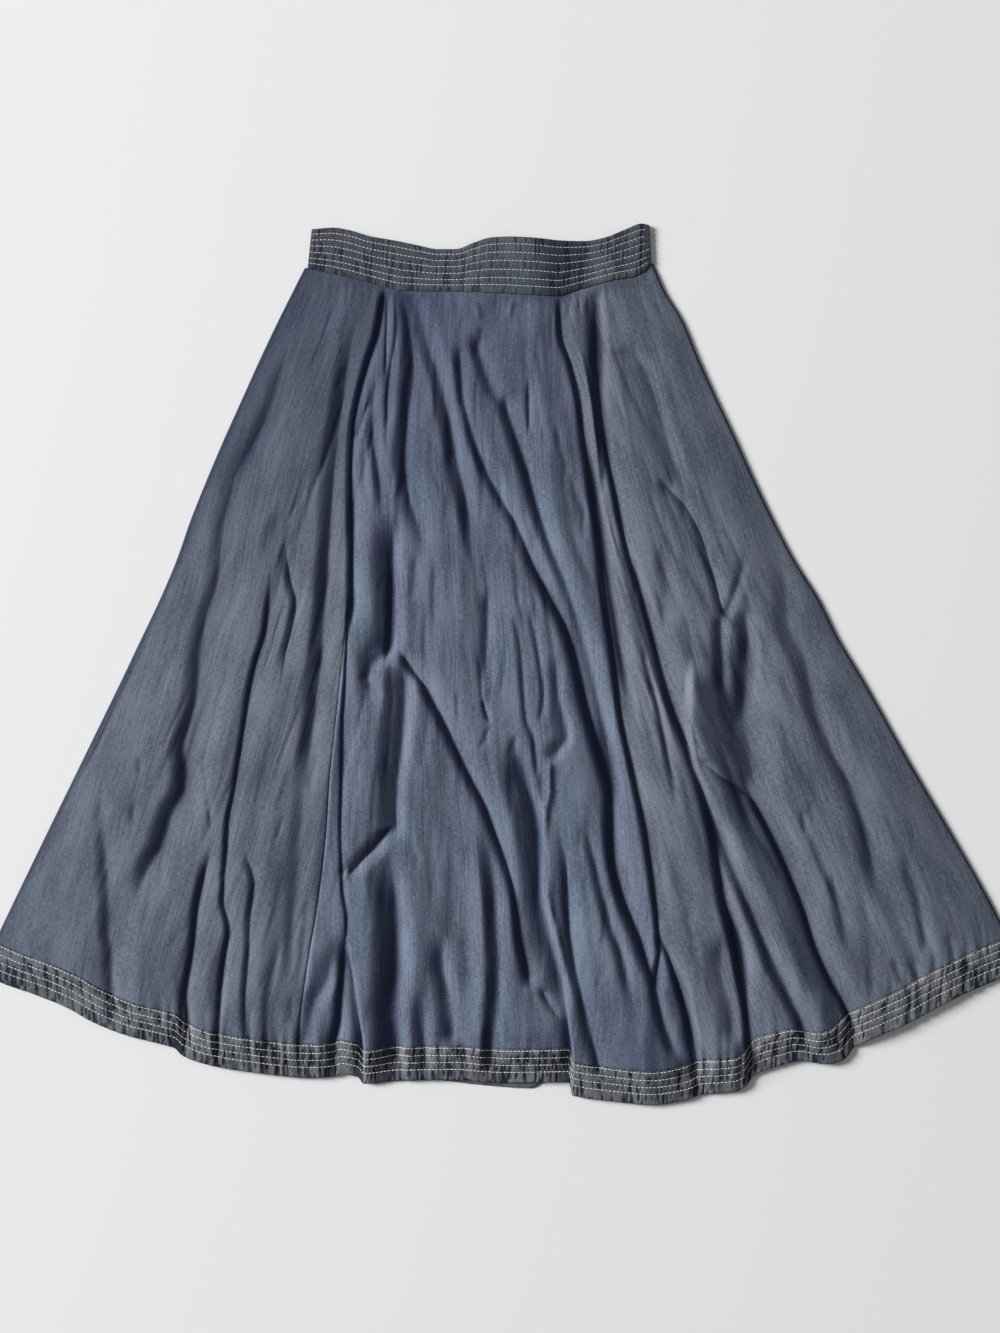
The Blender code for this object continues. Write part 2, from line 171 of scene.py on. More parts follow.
def denim(name, navy=NAVY_YARN, grey=GREY_YARN, shade=PAINTED_SHADE_NAVY, stains=()):
    """Two-tone denim: warp and weft slubs, uneven tone, and a dark painted shade colour mixed in by
    the mesh's painted shade attribute.
    """
    material, nodes, links, shader = new_material(name, 0.70, 0.10)
    shader.inputs["Sheen Weight"].default_value = 0.03
    shader.inputs["Sheen Roughness"].default_value = 0.45
    shader.inputs["Sheen Tint"].default_value = (0.72, 0.79, 0.95, 1)
    uv = nodes.new("ShaderNodeUVMap")
    uv.uv_map = "UVMap"

    def threads(across_mm, along_mm, detail):
        mapping = nodes.new("ShaderNodeMapping")
        mapping.inputs["Scale"].default_value = (1 / (across_mm * MM), 1 / (along_mm * MM), 1)
        links.new(uv.outputs["UV"], mapping.inputs["Vector"])
        noise = nodes.new("ShaderNodeTexNoise")
        noise.noise_dimensions = "2D"
        noise.inputs["Scale"].default_value = 1
        noise.inputs["Detail"].default_value = detail
        links.new(mapping.outputs["Vector"], noise.inputs["Vector"])
        return noise.outputs["Fac"]

    def feed(socket, value):
        if isinstance(value, bpy.types.NodeSocket):
            links.new(value, socket)
        else:
            socket.default_value = (*value, 1) if isinstance(value, tuple) else value

    def maths(operation, a, b):
        node = nodes.new("ShaderNodeMath")
        node.operation = operation
        feed(node.inputs[0], a)
        feed(node.inputs[1], b)
        return node.outputs["Value"]

    def ranged(value, low, high, new_low, new_high):
        node = nodes.new("ShaderNodeMapRange")
        for socket, given in zip(("Value", "From Min", "From Max", "To Min", "To Max"),
                                 (value, low, high, new_low, new_high)):
            feed(node.inputs[socket], given)
        return node.outputs["Result"]

    def mixed(share, first, second):
        node = nodes.new("ShaderNodeMix")
        node.data_type = "RGBA"
        for socket, value in zip((0, 6, 7), (share, first, second)):
            feed(node.inputs[socket], value)
        return node.outputs[2]

    warp, weft = threads(SLUB_WIDE, SLUB_LONG, 3), threads(SLUB_LONG, SLUB_WIDE, 3)
    weave = maths("ADD", maths("MULTIPLY", warp, 0.5), maths("MULTIPLY", weft, 0.5))
    streak, patch = threads(*STREAK, 3), threads(*PATCH, 3)
    tone = maths("ADD", weave, maths("MULTIPLY", streak, STREAK_SHARE))
    tone = maths("ADD", tone, maths("MULTIPLY", patch, PATCH_SHARE))
    colour = mixed(ranged(tone, *TONE_RANGE, 0.0, 1.0), navy, grey)
    hue = threads(*HUE_DRIFT, 2)
    teal = tuple(c * tint for c, tint in zip(grey, TEAL_TINT))
    mauve = tuple(c * tint for c, tint in zip(grey, MAUVE_TINT))
    tint = mixed(ranged(hue, 0.38, 0.62, 0.0, 1.0), teal, mauve)
    colour = mixed(HUE_SHARE, colour, tint)
    # painted shade: mixes in the dark shade colour where the painted_shade attribute is high
    painted_shade = nodes.new("ShaderNodeAttribute")
    painted_shade.attribute_name = "painted_shade"
    colour = mixed(ranged(painted_shade.outputs["Fac"], 0.0, 1.0, 0.0, PAINTED_SHADE_SHARE), colour, shade)
    place = nodes.new("ShaderNodeTexCoord")
    for across, down, radius, stain in stains:
        distance = nodes.new("ShaderNodeVectorMath")
        distance.operation = "DISTANCE"
        distance.inputs[1].default_value = ((across - DATUM_ACROSS) * MM,
                                            (DATUM_DOWN - down) * MM, STAIN_HEIGHT)
        links.new(place.outputs["Object"], distance.inputs[0])
        colour = mixed(ranged(distance.outputs["Value"], STAIN_CORE * radius * MM, radius * MM,
                              STAIN_STRENGTH, 0.0), colour, stain)
    links.new(colour, shader.inputs["Base Color"])
    height = maths("ADD", maths("MULTIPLY", weave, WEAVE_DEPTH * MM),
                   maths("MULTIPLY", streak, STREAK_DEPTH * MM))
    bump = nodes.new("ShaderNodeBump")
    bump.inputs["Distance"].default_value = 1.0
    bump.inputs["Strength"].default_value = 0.8
    links.new(height, bump.inputs["Height"])
    links.new(bump.outputs["Normal"], shader.inputs["Normal"])
    return material


def dress(cloth, material, node):
    """A finished piece of the skirt: its cloth, the solid it stands for, and its cut."""
    cloth.data.materials.clear()
    cloth.data.materials.append(material)
    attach(cloth, "root")
    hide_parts(node)


BACK_ROWS, BACK_COLUMNS = 80, 50
LEVEL_ROWS, HEM_TURN = 0.86, 0.14  # shares of a gore's length with and without level rows
waist_seam, hem_seam_back = smooth_line(WAIST_SEAM), smooth_line(HEM_SEAM_BACK)
left_side, right_side = smooth_line(LEFT_SIDE), smooth_line(RIGHT_SIDE)


def gore_map(left, right, hem, share, t, level=None):
    """Place (across, down) on a gore at a share of its width and t of its length.

    left and right are (line, down at the waist, down at the hem). The rows follow the level
    line, and only the last of them take the real line of the hem.
    """
    near, far = [line(top + (low - top) * t) for line, top, low in (left, right)]
    starts = [line(top) for line, top, low in (left, right)]
    ends = [line(low) for line, top, low in (left, right)]
    top = waist_seam(starts[0] + (starts[1] - starts[0]) * share)
    spot = ends[0] + (ends[1] - ends[0]) * share
    bottom = hem(spot)
    if level is not None:
        bottom = level(spot) + (bottom - level(spot)) * ease((t - LEVEL_ROWS) / HEM_TURN)
    return near + (far - near) * share, top + (bottom - top) * t


back_denim = denim("back_denim")
back_lines = ((left_side, 268.5, 942), (smooth_line(BACK_SEAM_LEFT), 290.5, 1038.2),
              (smooth_line(BACK_SEAM_RIGHT), 295.6, 1052), (right_side, 264, 937.5))
BACK_CUTS = [
    # node                width  length  area, in metres
    ("back_left_panel",   0.345, 0.80,  0.170),
    ("back_centre_panel", 0.360, 0.77,  0.195),
    ("back_right_panel",  0.330, 0.81,  0.160),
]
for (name, width, length, area), left, right in zip(BACK_CUTS, back_lines, back_lines[1:]):
    share, t = np.meshgrid(np.linspace(0, 1, BACK_COLUMNS), np.linspace(0, 1, BACK_ROWS))
    across, down = gore_map(left, right, hem_seam_back, share, t)
    edge = from_side(across, down)
    drawn_in = BACK_INSET * np.clip(1 - edge / INSET_REACH, 0, 1)
    across = across + drawn_in * np.sign(DATUM_ACROSS - across)
    ripple = np.maximum(crinkle(across - RIPPLE_SLANT * down, down, 34, 260, seed=3), 0)
    ripple = ripple * ease(edge / RIPPLE_FREE)
    gore = laid_cloth(name + "_cloth", in_frame(across, down, BACK_TOP + BACK_RIPPLE * ripple))
    dress(gore, back_denim, name)

# Back hem strip and back of the waistband
# Straight strips of the same denim, worn greyer, sewn along the edges of the back gores. They
# lie flat under the front ones, and show only from the sides and as a thin line below the hem.
HEM_WIDTH = 34.5
HEM_LEFT, HEM_RIGHT = -5, 1008  # ends of the seam above the strip, across
BAND_LEVEL, BAND_RIPPLE = 0.9, 0.35  # height of the strip and band, and of its ripples
# How far the hem strip's lower edge lies to the right of its upper edge, each row (across, lean)
HEM_LEAN = [(-5, -13), (48, -10), (102, -10), (130, -3), (187, -4), (214, -1), (309, 0), (570, 0),
            (694, 2), (750, 3), (757, 6), (789, 10), (828, 13), (846, 7), (852, 6), (900, 12),
            (1008, 18)]
BAND_NAVY, BAND_GREY = (0.033, 0.040, 0.050), (0.206, 0.217, 0.231)
# painted shade colour of the strips and the band
BAND_PAINTED_SHADE = (0.014, 0.018, 0.030)
# Upper edge of the waistband, each point (across, down)
WAIST_TOP = [(312, 230), (333, 228.6), (349, 231), (369, 237), (395, 241.6), (418, 246.4),
             (438, 250.3), (456, 250.3), (474, 244), (492, 239), (510, 238.3), (535, 239.5),
             (561, 241.6), (586, 242), (604, 239), (624, 231), (642, 224.5), (649, 226)]
hem_lean, waist_top = smooth_line(HEM_LEAN), smooth_line(WAIST_TOP)
hem_band_denim = denim("hem_band_denim", BAND_NAVY, BAND_GREY, BAND_PAINTED_SHADE)


def hem_strip_map(hem, across, width):
    """Place (across, down) on the hem strip, a distance below the point across on its seam."""
    lean = hem_lean(across)
    drop = np.sqrt(HEM_WIDTH ** 2 - lean ** 2)
    return across + lean * width / HEM_WIDTH, hem(across) + drop * width / HEM_WIDTH


def waistband_map(share, w):
    """Place (across, down) on the waistband at a share of its length and w of its width."""
    top_ends, seam_ends = (WAIST_TOP[0][0], WAIST_TOP[-1][0]), (WAIST_SEAM[0][0], WAIST_SEAM[-1][0])
    top, low = np.interp(share, (0, 1), top_ends), np.interp(share, (0, 1), seam_ends)
    return top + (low - top) * w, waist_top(top) + (waist_seam(low) - waist_top(top)) * w


share, width = np.meshgrid(np.linspace(0, 1, 220), np.linspace(0, HEM_WIDTH, 9))
across, down = hem_strip_map(hem_seam_back, HEM_LEFT + (HEM_RIGHT - HEM_LEFT) * share, width)
ripple = crinkle(across, down, 9, 60, seed=5) ** 2
back_hem = laid_cloth("hem_band_back_cloth",
                      in_frame(across, down, BAND_LEVEL + BAND_RIPPLE * ripple))
dress(back_hem, hem_band_denim, "hem_band_back")
share, width = np.meshgrid(np.linspace(0, 1, 90), np.linspace(0, 1, 12))
across, down = waistband_map(share, width)
back_waist = laid_cloth("waistband_back_cloth", in_frame(across, down, BAND_LEVEL))
dress(back_waist, hem_band_denim, "waistband_back")

# Front gores
# Three flared gores of the same denim, sewn together in the left and the right pleat. They lie
# on the back in loose folds that run from the waist to the hem: each fold rises softly from
# the left and drops steeply into the next one's foot.
FRONT_LOW = 2.4  # lowest height of the front layer's upper face
# The seams of the left and the right pleat, each point (down, across)
SEAM_LEFT = [(286.5, 386), (333, 377), (368, 366), (406, 355), (432, 350), (480, 348), (547, 349),
             (604, 349), (646, 345), (694, 340), (732, 336), (780, 331), (828, 328), (876, 323),
             (918, 317), (946, 312), (977, 307), (1016, 302), (1042, 300)]
SEAM_RIGHT = [(290, 557), (301, 558), (333, 561), (368, 572), (400, 579), (432, 582), (480, 589),
              (535, 596), (588, 603), (630, 609), (674, 615), (716, 620), (758, 629), (796, 637),
              (828, 644), (863, 649), (892, 653), (921, 657), (940, 661), (955, 668), (982, 677),
              (1008, 685), (1032, 690), (1061, 695)]
# The seam above the front hem strip, and its line without the folds, each point (across, down)
HEM_SEAM_FRONT = [(-5, 942), (22, 953), (48, 961.5), (79, 974.5), (102, 987.5), (130, 1000),
                  (166, 1009), (179, 1013), (187, 1020.5), (214, 1030.5), (246, 1036),
                  (309, 1042.5), (336, 1041), (341, 1038.5), (358, 1041.5), (364, 1048.5),
                  (400, 1045.5), (456, 1044.5), (501, 1047.5), (569, 1046.5), (572, 1060),
                  (612, 1066), (650, 1069.5), (682, 1065), (694, 1061), (698, 1059.5),
                  (733, 1056), (742, 1051.5), (750, 1041), (757, 1036), (776, 1030),
                  (789, 1027), (815, 1031), (828, 1028), (846, 1013.5), (852, 1010),
                  (900, 987), (929, 971), (964, 954.5), (1008, 937.5)]
HEM_LEVEL = [(-5, 942), (102, 986), (214, 1028), (336, 1042), (456, 1046), (560, 1052),
             (650, 1062), (742, 1050), (828, 1022), (900, 988), (1008, 937.5)]
# How high the loose cloth stands before it is creased, each row (down, height)
FULLNESS = [(290, 4.0), (330, 7.5), (620, 11.0), (1030, 12.5), (1090, 8.5)]
# How high the waist seam lies, each row (across, lift)
WAIST_LIFT = [(308, 0.0), (340, 1.4), (400, 2.0), (450, 2.8), (500, 5.0), (530, 5.6), (576, 1.0),
              (606, 3.2), (640, 1.6), (651, 0.0)]
# Creases, each a trough along its path, with its foot on the path. A negative depth is a ridge.
# Left and right are its reach to each side, and it fades in over start and out over end. Sharp
# is how keen its foot is, from 0 to 1, and all else is in millimetres.
CREASES = [
    # depth left right sharp start end  path of (across, down)
    # left gore
    (7.0, 17, 44, 0.8, 50, 70, [(291, 340), (277, 387), (266, 419), (250, 451), (235, 479),
     (229, 505), (223, 528), (221, 550), (218, 582), (208, 614), (201, 652), (198, 690), (192, 719),
     (184, 751), (187, 772), (185, 790), (173, 812), (163, 844), (150, 868), (142, 890),
     (134, 918)]),
    (1.6, 5, 10, 1.0, 15, 20, [(270, 412), (256, 446), (250, 470)]),
    (3.4, 6, 26, 1.0, 60, 30, [(274, 560), (270, 601), (267, 630), (257, 665), (251, 694),
     (246, 726), (241, 758), (236, 790), (230, 822), (228, 857), (226, 876), (225, 898), (231, 929),
     (227, 955), (223, 985), (220, 1030), (219, 1075)]),
    (3.0, 26, 8, 0.3, 40, 30, [(229, 925), (226, 960), (222, 990), (220, 1030)]),
    (3.6, 9, 22, 1.0, 40, 40, [(285, 535), (287, 550), (291, 578), (297, 604), (292, 633),
     (286, 658), (283, 685)]),
    (5.0, 16, 26, 0.5, 90, 60, [(366, 296), (352, 345), (348, 368), (343, 406), (336, 464),
     (332, 512), (329, 559), (324, 630), (321, 668), (315, 719), (310, 764), (307, 800)]),
    (1.6, 12, 20, 0.3, 40, 60, [(308, 760), (300, 850), (294, 940), (296, 1010)]),
    (5.0, 9, 28, 1.0, 40, 10, [(213, 846), (204, 884), (199, 910), (196, 940), (192, 966),
     (188, 994), (189, 1013), (186, 1060)]),
    (4.0, 12, 30, 0.6, 50, 30, [(103, 800), (107, 856), (110, 890), (110, 926), (114, 954),
     (115, 985), (119, 1030)]),
    (1.8, 24, 6, 0.2, 30, 30, [(112, 940), (114, 985), (116, 1010)]),
    (3.0, 8, 18, 0.9, 20, 30, [(246, 850), (256, 882), (252, 918), (250, 960), (247, 1002),
     (247, 1045)]),
    (1.2, 4, 8, 1.0, 12, 20, [(206, 745), (206, 776), (210, 800), (214, 835)]),
    (3.2, 16, 12, 0.3, 40, 20, [(340, 925), (330, 975), (313, 1010), (306, 1055)]),
    (1.4, 8, 12, 0.5, 20, 20, [(294, 985), (293, 1030)]),
    (8.0, 4, 7, 1.0, 40, 60, [(148, 640), (134, 668), (121, 694), (104, 732), (86, 768),
     (66, 806)]),
    (2.4, 5, 9, 0.8, 20, 20, [(137, 795), (133, 832)]),
    (2.2, 5, 9, 0.8, 10, 10, [(142, 752), (141, 778)]),
    (3.0, 8, 14, 0.6, 25, 25, [(104, 785), (100, 832)]),
    (1.6, 14, 18, 0.2, 30, 40, [(290, 500), (270, 545), (262, 580)]),
    (1.2, 6, 10, 0.6, 20, 20, [(166, 850), (160, 900)]),
    # left pleat
    (6.0, 8, 22, 1.0, 6, 40, [(386, 288), (379, 333), (368, 368), (358, 406), (354, 432),
     (352, 480), (353, 547), (353, 604), (351, 640)]),
    (2.4, 4, 14, 1.0, 30, 30, [(351, 590), (348, 646), (346, 690), (344, 720), (343, 780),
     (342, 830), (343, 868), (344, 890), (348, 918), (347, 950)]),
    (6.5, 11, 20, 1.0, 40, 6, [(347, 925), (345, 954), (343, 988), (341, 1016), (336, 1044),
     (335, 1090)]),
    (5.5, 16, 3, 1.0, 30, 6, [(347, 935), (350, 954), (354, 977), (358, 1002), (361, 1022),
     (363.5, 1044), (364, 1090)]),
    (5.0, 15, 12, 0.9, 10, 8, [(394, 824), (378, 845), (363, 860), (350, 876)]),
    (-1.5, 4, 5, 0.8, 4, 4, [(350, 866), (346, 878)]),
    (2.6, 4, 8, 1.0, 6, 25, [(388, 292), (387, 330), (386, 385)]),
    (2.0, 5, 10, 1.0, 6, 50, [(395, 290), (397, 330), (391, 370), (388, 400), (387, 440),
     (384, 470)]),
    (2.6, 8, 6, 0.9, 8, 6, [(369, 402), (364, 419), (356, 440)]),
    (3.6, 9, 14, 0.6, 30, 40, [(378, 372), (373, 405), (374, 440), (380, 480), (383, 520)]),
    (2.4, 8, 10, 0.5, 20, 30, [(366, 440), (365, 470), (368, 510)]),
    (3.0, 18, 14, 0.3, 25, 30, [(372, 640), (370, 680), (374, 720)]),
    # centre gore
    (6.0, 14, 22, 0.8, 6, 90, [(400, 288), (407, 314), (413, 368), (408, 419), (405, 464),
     (410, 500), (416, 520), (424, 545), (424, 565)]),
    (5.0, 14, 18, 0.4, 8, 60, [(404, 290), (416, 310), (429, 349), (442, 387), (449, 419),
     (458, 464), (468, 512), (478, 570)]),
    (4.5, 10, 16, 0.8, 30, 80, [(458, 340), (460, 362), (462, 390), (473, 438), (489, 477),
     (505, 506), (518, 528), (538, 578)]),
    (7.5, 13, 26, 1.0, 90, 60, [(505, 506), (519, 533), (538, 575), (554, 604), (567, 630),
     (575, 655), (581, 681), (587, 706), (596, 738), (605, 770), (611, 796), (613, 857), (619, 884),
     (628, 910), (639, 936), (646, 959), (654, 984), (660, 1010)]),
    (3.0, 12, 12, 0.4, 15, 20, [(474, 335), (484, 368), (494, 394), (500, 410)]),
    (5.0, 12, 16, 0.7, 20, 60, [(503, 390), (507, 410), (514, 432), (527, 470), (537, 506),
     (547, 538), (562, 575), (574, 610), (583, 640), (592, 675), (600, 710), (608, 750), (614, 780),
     (622, 815)]),
    (1.8, 4, 8, 1.0, 15, 15, [(528, 380), (529, 440)]),
    (2.6, 10, 12, 0.7, 20, 30, [(487, 590), (488, 620), (487, 646), (485, 690)]),
    (2.0, 5, 8, 1.0, 20, 20, [(513, 612), (520, 646), (523, 684), (526, 719), (534, 740),
     (537, 780)]),
    (2.0, 5, 8, 1.0, 15, 15, [(528, 610), (536, 642), (540, 668), (543, 694), (540, 725)]),
    (2.2, 5, 6, 1.0, 5, 6, [(483, 700), (486, 712), (491, 724)]),
    (1.0, 4, 8, 1.0, 10, 15, [(457, 690), (459, 735)]),
    (1.2, 8, 10, 0.4, 15, 15, [(417, 552), (413, 605)]),
    (3.2, 8, 8, 1.0, 30, 20, [(393, 560), (392, 600), (390, 640), (385, 668)]),
    (7.0, 26, 14, 0.6, 45, 30, [(393, 515), (394, 572), (395, 604), (395, 626), (391, 649),
     (382, 672)]),
    (2.2, 10, 8, 0.6, 8, 8, [(382, 652), (366, 682)]),
    (1.6, 8, 8, 0.6, 6, 8, [(365, 674), (381, 698)]),
    (7.0, 28, 14, 0.7, 25, 30, [(398, 662), (406, 684), (405, 719), (402, 751), (398, 783),
     (397, 812), (399, 850)]),
    (6.0, 11, 22, 1.0, 25, 20, [(394, 640), (400, 650), (411, 667), (424, 684), (437, 708),
     (449, 731), (459, 753), (472, 779), (485, 804), (494, 828), (504, 855), (512, 882), (517, 910),
     (521, 938), (527, 965), (531, 990)]),
    (10.5, 28, 16, 0.6, 75, 6, [(391, 838), (396, 900), (398, 930), (398, 960), (396, 990),
     (394, 1010), (396, 1040), (398, 1090)]),
    (5.0, 16, 12, 0.5, 40, 15, [(442, 925), (443, 966), (448, 988), (451, 1010), (454, 1045)]),
    (4.6, 14, 12, 0.5, 30, 10, [(420, 985), (424, 1030), (427, 1075)]),
    (-3.2, 20, 12, 0.7, 90, 15, [(474, 815), (481, 890), (483, 930), (484, 970), (483, 1016),
     (481, 1044), (481, 1075)]),
    (4.5, 14, 16, 0.6, 90, 15, [(484, 820), (494, 880), (497, 932), (499, 960), (498, 988),
     (494, 1016), (491, 1044), (491, 1075)]),
    (9.0, 30, 8, 0.6, 50, 40, [(520, 735), (527, 783), (534, 805), (539, 830), (541, 860),
     (541, 892), (548, 930), (556, 959), (563, 988), (567, 1015)]),
    (1.4, 10, 8, 0.5, 15, 20, [(514, 730), (520, 790)]),
    (-2.8, 6, 7, 0.8, 12, 60, [(549, 757), (549, 790), (545, 812), (542, 847), (543, 870),
     (547, 898), (556, 936), (564, 982), (568, 1015)]),
    (3.8, 16, 8, 0.6, 35, 12, [(556, 650), (558, 690), (563, 715), (567, 737), (558, 752),
     (552, 764)]),
    (4.2, 12, 14, 0.9, 60, 15, [(560, 825), (566, 863), (568, 895), (569, 921), (574, 959),
     (581, 994), (588, 1023), (595, 1049), (602, 1080)]),
    (3.6, 10, 12, 0.8, 40, 40, [(584, 815), (588, 837), (597, 872), (603, 898), (611, 927),
     (620, 950), (626, 977), (633, 1010)]),
    (5.5, 16, 3, 1.0, 60, 4, [(562, 985), (567, 1015), (569, 1030), (571, 1050), (571.5, 1095)]),
    (2.2, 6, 8, 1.0, 8, 10, [(540, 985), (548, 1000), (560, 1018)]),
    # right pleats
    (4.8, 8, 22, 1.0, 5, 40, [(557, 288), (559, 301), (561, 333), (572, 368), (580, 400),
     (583, 432), (590, 480), (597, 535), (604, 588), (610, 630), (616, 674), (621, 716), (630, 758),
     (638, 796), (645, 828), (650, 863), (654, 892), (657, 921), (659, 950), (656, 974), (654, 988),
     (658, 1006)]),
    (4.2, 8, 15, 0.0, 80, 90, [(587, 420), (595, 480), (603, 535), (611, 588), (618, 630),
     (625, 674), (632, 716), (640, 750)]),
    (-2.4, 6, 5, 0.7, 60, 80, [(574, 335), (586, 380), (594, 432), (599, 480), (610, 530),
     (624, 580), (637, 625), (648, 662), (660, 700), (676, 742)]),
    (3.0, 7, 8, 0.6, 40, 50, [(605, 500), (622, 572), (640, 636), (656, 700), (669, 764),
     (679, 815)]),
    (6.4, 11, 26, 1.0, 60, 60, [(594, 301), (597, 352), (598, 375), (600, 400), (606, 448),
     (616, 496), (626, 547), (639, 588), (651, 633), (660, 668), (673, 710), (689, 751), (702, 790),
     (711, 822), (716, 854), (719, 872), (724, 901), (732, 930), (736, 950), (740, 979),
     (744, 1006)]),
    (5.0, 18, 10, 0.3, 6, 70, [(594, 284), (598, 310), (600, 350), (601, 420)]),
    (6.6, 9, 22, 1.0, 50, 5, [(724, 895), (732, 930), (737, 955), (741, 979), (745, 1008),
     (748, 1037), (750, 1066), (751, 1095)]),
    (6.0, 9, 22, 1.0, 30, 5, [(656, 925), (660, 938), (668, 955), (677, 982), (686, 1008),
     (691, 1032), (696, 1058), (698, 1098)]),
    (6.0, 34, 10, 0.4, 50, 10, [(672, 950), (682, 1000), (690, 1040), (694, 1085)]),
    (4.0, 11, 12, 0.8, 20, 20, [(654, 985), (660, 1011), (667, 1035), (680, 1062)]),
    (3.8, 20, 16, 0.4, 30, 20, [(718, 930), (721, 979), (729, 1008), (735, 1045)]),
    (-2.2, 5, 6, 0.7, 25, 25, [(684, 690), (686, 715), (694, 762), (708, 795), (722, 830)]),
    # right gore
    (4.0, 22, 14, 0.6, 20, 20, [(627, 340), (631, 352), (644, 368), (657, 406), (666, 438),
     (676, 467), (688, 496)]),
    (4.0, 10, 16, 1.0, 12, 12, [(660, 478), (667, 488), (683, 504), (693, 520), (703, 543),
     (716, 588), (722, 610), (733, 624)]),
    (2.6, 9, 8, 0.6, 15, 12, [(743, 555), (741, 572), (730, 605), (724, 622)]),
    (3.4, 12, 10, 0.5, 15, 30, [(720, 612), (720, 640), (722, 668), (722, 700)]),
    (3.0, 32, 16, 0.3, 25, 60, [(744, 596), (747, 640), (747, 710)]),
    (5.5, 54, 34, 0.2, 40, 30, [(744, 630), (746, 700), (749, 760), (752, 800)]),
    (3.8, 14, 12, 0.5, 15, 30, [(742, 608), (748, 640), (748, 662), (744, 700), (742, 730)]),
    (-6.5, 7, 54, 0.6, 30, 50, [(693, 655), (690, 690), (690, 726), (695, 757), (706, 784),
     (718, 812), (728, 836)]),
    (3.0, 12, 9, 1.0, 6, 10, [(698, 757), (710, 768), (726, 780), (742, 790), (752, 800)]),
    (8.0, 36, 30, 0.7, 30, 5, [(738, 768), (746, 788), (756, 806), (769, 830), (782, 858),
     (789, 874), (802, 906), (814, 944), (830, 980), (843, 1002), (851, 1026), (853, 1042),
     (854, 1070)]),
    (3.6, 7, 7, 1.0, 30, 5, [(744, 786), (756, 806), (769, 830), (782, 858), (789, 874),
     (802, 906), (814, 944), (830, 980), (843, 1002), (851, 1026), (853, 1042), (854, 1070)]),
    (-2.0, 14, 18, 0.4, 40, 60, [(700, 770), (708, 785), (722, 815), (742, 862), (760, 905)]),
    (6.0, 12, 22, 0.6, 60, 20, [(700, 790), (716, 830), (736, 878), (750, 910), (765, 945),
     (773, 965), (786, 990), (798, 1016), (806, 1045)]),
    (5.0, 17, 26, 0.5, 60, 40, [(735, 430), (753, 494), (776, 545), (784, 580), (786, 620),
     (804, 662), (813, 706), (829, 748), (845, 776), (856, 805), (865, 834), (872, 866),
     (880, 900)]),
    (2.2, 10, 14, 0.5, 20, 30, [(829, 870), (840, 920), (849, 955)]),
    (2.4, 9, 14, 0.5, 25, 15, [(902, 850), (905, 866), (915, 894), (921, 926), (925, 955)]),
    (1.8, 6, 8, 0.8, 10, 8, [(890, 955), (903, 986)]),
    (1.8, 6, 8, 0.8, 10, 8, [(907, 955), (918, 982)]),
    (1.6, 6, 8, 0.8, 10, 8, [(944, 930), (953, 962)]),
    (1.4, 6, 8, 0.6, 12, 12, [(800, 805), (805, 838)]),
    (2.0, 12, 12, 0.2, 30, 30, [(742, 455), (765, 510), (783, 565)]),
    (1.7, 13, 14, 0.2, 30, 30, [(660, 540), (667, 610), (662, 640)]),
    (1.6, 6, 6, 0.8, 8, 8, [(680, 336), (690, 356)]),
    (1.6, 5, 7, 0.8, 5, 8, [(572, 292), (566, 325)]),
    (1.4, 4, 6, 0.8, 4, 8, [(580, 292), (578, 315)]),
    (-1.2, 5, 6, 0.7, 6, 6, [(474, 300), (480, 322)]),
    (-1.2, 5, 6, 0.7, 6, 6, [(512, 300), (508, 322)]),
]
GATHER = 2.2  # depth of the small gathers along the two seams
GATHER_WAIST, GATHER_HEM = 28, 12  # how far they reach from the waist and from the hem
FALL_LEFT, FALL_RIGHT = 60, 52  # how far in the cloth sinks towards its two sides
SOFT_FOOT = 0.7  # roundness of a fold's foot
WAIST_HELD = 16  # width below the waist seam that the band holds down
TURN_UNDER, TURN_DROP = 2.4, 1.5  # width and depth of the rounded edge at each side
SEAM_LINE, SEAM_DEPTH = 1.3, 0.5  # width and depth of the pressed line low on the left seam
EDGE_LINE = 3.2  # width of the painted shade line along the edge where a side turns under
SHADE_FULL_SLOPE = 0.24  # slope at which the painted shade is two thirds full
SHADE_RIGHT, SHADE_DOWN = 0.85, 0.45  # weights in the painted shade of the slopes to the right and to the hem, away from the light
TURN_REACHES = (1.2, 4.5)  # half lengths over which a slope is taken, in equal parts
DEEP_FROM, DEEP_OVER = 3.5, 6.0  # depth from which a fold counts as deep, and fully after that
SIDE_REACH = 45  # how far in from the left side more painted shade falls
RIGHT_LESS_SHADE, RIGHT_REACH = 0.75, 80  # how much less a slope counts in the painted shade near the right side
